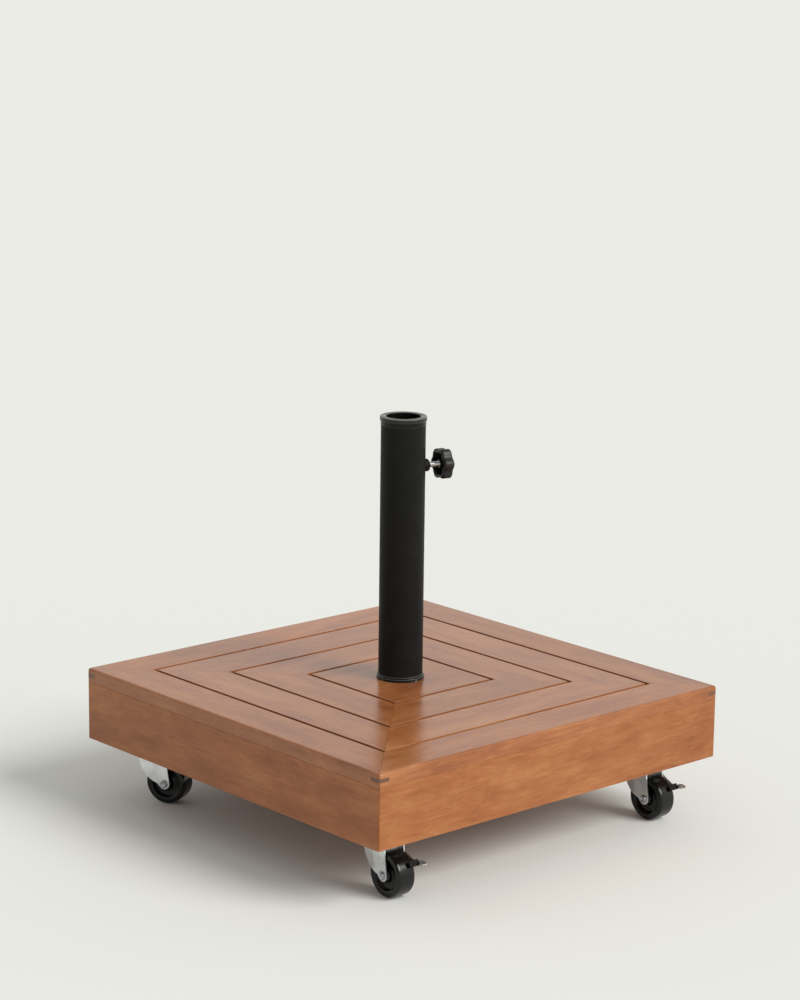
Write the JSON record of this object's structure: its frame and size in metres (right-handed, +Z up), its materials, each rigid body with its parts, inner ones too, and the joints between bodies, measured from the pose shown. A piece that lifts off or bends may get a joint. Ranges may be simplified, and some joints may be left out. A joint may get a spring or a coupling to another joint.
{
  "type": "patio umbrella base",
  "caption": "Square wooden patio umbrella base on braked swivel casters, with a steel pole tube, a reducer cap and a star-knob clamp.",
  "frame": {"origin": "on the floor, under the middle of the pole tube", "axes": "+Z up along the pole tube; X and Y square to the box sides; -Y is the front side"},
  "size_m": [0.51, 0.51, 0.46],
  "materials": {
    "deck_wood": "satin clear lacquer over a red-brown stain",
    "apron_wood": "satin clear lacquer over a red-brown stain",
    "key_wood": "darker hardwood, satin lacquer",
    "batten_wood": "planed, unfinished",
    "plywood": "stained plywood",
    "concrete": "cast, rough",
    "black_steel": "fine matt powder coat",
    "black_cap_plastic": "moulded, satin",
    "knob_plastic": "moulded, satin",
    "zinc_steel": "bright zinc plate",
    "bright_steel": "bright plated",
    "screw_steel": "zinc plate",
    "brass": "turned",
    "wheel_rubber": "moulded, satin"
  },
  "bodies": {
    "base": {"outer_board_front": "deck_wood", "outer_board_right": "deck_wood", "outer_board_back": "deck_wood", "outer_board_left": "deck_wood", "middle_board_front": "deck_wood", "middle_board_right": "deck_wood", "middle_board_back": "deck_wood", "middle_board_left": "deck_wood", "inner_board_front": "deck_wood", "inner_board_right": "deck_wood", "inner_board_back": "deck_wood", "inner_board_left": "deck_wood", "apron_front": "apron_wood", "apron_right": "apron_wood", "apron_back": "apron_wood", "apron_left": "apron_wood", "centre_panel": "deck_wood", "corner_keys": "key_wood", "batten_back": "batten_wood", "batten_left": "batten_wood", "batten_front": "batten_wood", "batten_right": "batten_wood", "deck_screws": "screw_steel", "bottom_panel": "plywood", "ballast_block_front": "concrete", "ballast_block_right": "concrete", "ballast_block_back": "concrete", "ballast_block_left": "concrete", "foot_plate": "black_steel", "foot_bolts": "screw_steel", "pole_tube": "black_steel", "collar_ring": "black_cap_plastic", "reducer_cap": "black_cap_plastic", "weld_nut": "black_steel", "caster_plate_front": "zinc_steel", "caster_plate_right": "zinc_steel", "caster_plate_back": "zinc_steel", "caster_plate_left": "zinc_steel", "swivel_balls": "bright_steel", "caster_kingpins": "bright_steel", "caster_screws": "screw_steel"},
    "clamp_pad": {"pressure_pad": "brass"},
    "clamp_screw": {"clamp_stud": "bright_steel", "clamp_knob": "knob_plastic"},
    "fork_front": {"caster_fork_front": "zinc_steel", "caster_axle_front": "bright_steel"},
    "wheel_front": {"caster_wheel_front": "wheel_rubber"},
    "lever_front": {"brake_lever_front": "zinc_steel"},
    "fork_right": {"caster_fork_right": "zinc_steel", "caster_axle_right": "bright_steel"},
    "wheel_right": {"caster_wheel_right": "wheel_rubber"},
    "lever_right": {"brake_lever_right": "zinc_steel"},
    "fork_back": {"caster_fork_back": "zinc_steel", "caster_axle_back": "bright_steel"},
    "wheel_back": {"caster_wheel_back": "wheel_rubber"},
    "lever_back": {"brake_lever_back": "zinc_steel"},
    "fork_left": {"caster_fork_left": "zinc_steel", "caster_axle_left": "bright_steel"},
    "wheel_left": {"caster_wheel_left": "wheel_rubber"},
    "lever_left": {"brake_lever_left": "zinc_steel"}
  },
  "joints": [
    {"name": "clamp_advance", "type": "slide", "parent": "base", "child": "clamp_pad", "axis": [-0.9703, 0.2419, 0], "range_m": [-0.001, 0.01]},
    {"name": "clamp_turn", "type": "hinge", "parent": "clamp_pad", "child": "clamp_screw", "pos_m": [0.04328, -0.01079, 0.401], "axis": [-0.9703, 0.2419, 0], "range_deg": [-360, 3600]},
    {"name": "swivel_front", "type": "hinge", "parent": "base", "child": "fork_front", "pos_m": [-0.198, -0.198, 0.072], "axis": [0, 0, 1], "continuous": true},
    {"name": "wheel_spin_front", "type": "hinge", "parent": "fork_front", "child": "wheel_front", "pos_m": [-0.1986, -0.21369, 0.025], "axis": [0.9993, -0.0384, 0], "continuous": true},
    {"name": "brake_front", "type": "hinge", "parent": "fork_front", "child": "lever_front", "pos_m": [-0.19856, -0.21249, 0.047], "axis": [0.9993, -0.0384, 0], "range_deg": [0, 5]},
    {"name": "swivel_right", "type": "hinge", "parent": "base", "child": "fork_right", "pos_m": [0.198, -0.198, 0.072], "axis": [0, 0, 1], "continuous": true},
    {"name": "wheel_spin_right", "type": "hinge", "parent": "fork_right", "child": "wheel_right", "pos_m": [0.19806, -0.2137, 0.025], "axis": [1, 0.0035, 0], "continuous": true},
    {"name": "brake_right", "type": "hinge", "parent": "fork_right", "child": "lever_right", "pos_m": [0.19805, -0.2125, 0.047], "axis": [1, 0.0035, 0], "range_deg": [0, 5]},
    {"name": "swivel_back", "type": "hinge", "parent": "base", "child": "fork_back", "pos_m": [0.198, 0.198, 0.072], "axis": [0, 0, 1], "continuous": true},
    {"name": "wheel_spin_back", "type": "hinge", "parent": "fork_back", "child": "wheel_back", "pos_m": [0.198, 0.2137, 0.025], "axis": [-1, 0, 0], "continuous": true},
    {"name": "brake_back", "type": "hinge", "parent": "fork_back", "child": "lever_back", "pos_m": [0.198, 0.2125, 0.047], "axis": [-1, 0, 0], "range_deg": [0, 5]},
    {"name": "swivel_left", "type": "hinge", "parent": "base", "child": "fork_left", "pos_m": [-0.198, 0.198, 0.072], "axis": [0, 0, 1], "continuous": true},
    {"name": "wheel_spin_left", "type": "hinge", "parent": "fork_left", "child": "wheel_left", "pos_m": [-0.19151, 0.1837, 0.025], "axis": [0.9107, 0.4131, 0], "continuous": true},
    {"name": "brake_left", "type": "hinge", "parent": "fork_left", "child": "lever_left", "pos_m": [-0.19201, 0.18479, 0.047], "axis": [0.9107, 0.4131, 0], "range_deg": [0, 5]}
  ],
  "couplings": [
    {"joint": "clamp_advance", "follows": "clamp_turn", "m_per_rad": 0.00015915}
  ]
}
